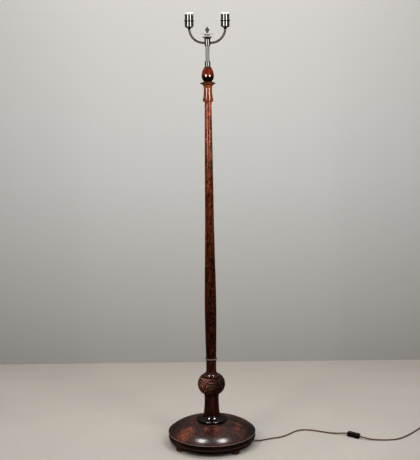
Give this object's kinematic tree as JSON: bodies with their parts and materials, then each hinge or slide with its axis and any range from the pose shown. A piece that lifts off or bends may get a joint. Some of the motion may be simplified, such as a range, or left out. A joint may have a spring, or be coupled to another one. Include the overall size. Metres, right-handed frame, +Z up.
{
  "type": "floor lamp",
  "caption": "Turned wooden candlestick floor lamp with a domed base, a carved ball, a height-adjustable chromed mast, curved arms with open lampholders, and a cord with an inline switch.",
  "frame": {"origin": "on the floor under the lamp's turning axis", "axes": "+Z up along the lamp's axis, the arms spread along X, the picture looks along +Y"},
  "size_m": [1.1495, 0.3487, 1.6782],
  "materials": {
    "base_veneer": "figured veneer under a high gloss lacquer, dark brown with orange patches",
    "dark_wood": "near-black stained and polished",
    "carved_wood": "dark stained, carved, polished on the high parts",
    "neck_wood": "dark red-brown polish",
    "shaft_wood": "polished, orange-brown at the top and darker towards the foot",
    "knop_wood": "deep red-brown polish",
    "iron": "rough cast",
    "steel": "zinc plated",
    "brass": "plain",
    "chrome_trim": "bright chrome plate",
    "porcelain": "glazed white porcelain",
    "cord_sheath": "smooth brown sheath",
    "switch_plastic": "dark brown moulding",
    "rocker_plastic": "dark brown moulding"
  },
  "bodies": {
    "stand": {"base_disc": "base_veneer", "foot_front_right": "dark_wood", "foot_front_left": "dark_wood", "foot_back_right": "dark_wood", "foot_back_left": "dark_wood", "ballast_plate": "iron", "ballast_screws": "steel", "tie_rod": "steel", "tie_nut": "steel", "tie_washer": "steel", "shaft_insert": "brass", "pedestal": "dark_wood", "carved_ball": "carved_wood", "neck": "neck_wood", "bead_ring": "neck_wood", "main_shaft": "shaft_wood", "capital": "neck_wood", "egg_knop": "knop_wood", "guide_tube": "steel", "split_collet": "brass", "riser_cord": "cord_sheath", "cord_slack": "cord_sheath", "cord_clamp": "steel", "clamp_screws": "steel", "cord_lead": "cord_sheath", "switch_base": "switch_plastic", "switch_cover": "switch_plastic", "switch_contact": "brass", "cord_tail": "cord_sheath", "cord_coil": "cord_sheath", "cord_end": "cord_sheath", "plug_body": "switch_plastic", "plug_pins": "brass"},
    "mast": {"mast_tube": "chrome_trim", "mast_cord": "cord_sheath", "arm_hub": "chrome_trim", "hub_cup": "chrome_trim", "shade_dish": "chrome_trim", "top_stud": "steel", "terminal_screws": "brass", "arm_left": "chrome_trim", "arm_wire_left": "cord_sheath", "holder_cap_left": "chrome_trim", "holder_sleeve_left": "chrome_trim", "contact_block_left": "porcelain", "thread_shell_left": "brass", "porcelain_rim_left": "porcelain", "centre_contact_left": "brass", "arm_right": "chrome_trim", "arm_wire_right": "cord_sheath", "holder_cap_right": "chrome_trim", "holder_sleeve_right": "chrome_trim", "contact_block_right": "porcelain", "thread_shell_right": "brass", "porcelain_rim_right": "porcelain", "centre_contact_right": "brass"},
    "clamp_nut": {"clamp_nut": "chrome_trim"},
    "finial": {"finial": "chrome_trim"},
    "rocker": {"switch_rocker": "rocker_plastic"}
  },
  "joints": [
    {"name": "mast_slide", "type": "slide", "parent": "stand", "child": "mast", "axis": [0, 0, 1], "range_m": [0, 0.1], "deforming": ["cord_slack"]},
    {"name": "clamp_nut_turn", "type": "hinge", "parent": "stand", "child": "clamp_nut", "pos_m": [0, 0, 1.489], "axis": [0, 0, 1], "range_deg": [0, 120]},
    {"name": "finial_turn", "type": "hinge", "parent": "mast", "child": "finial", "pos_m": [0, 0, 1.604], "axis": [0, 0, 1], "range_deg": [0, 360]},
    {"name": "switch_rocker_tilt", "type": "hinge", "parent": "stand", "child": "rocker", "pos_m": [0.56975, 0.02985, 0.0142], "axis": [0.6157, 0.788, 0], "range_deg": [-16, 0]}
  ]
}
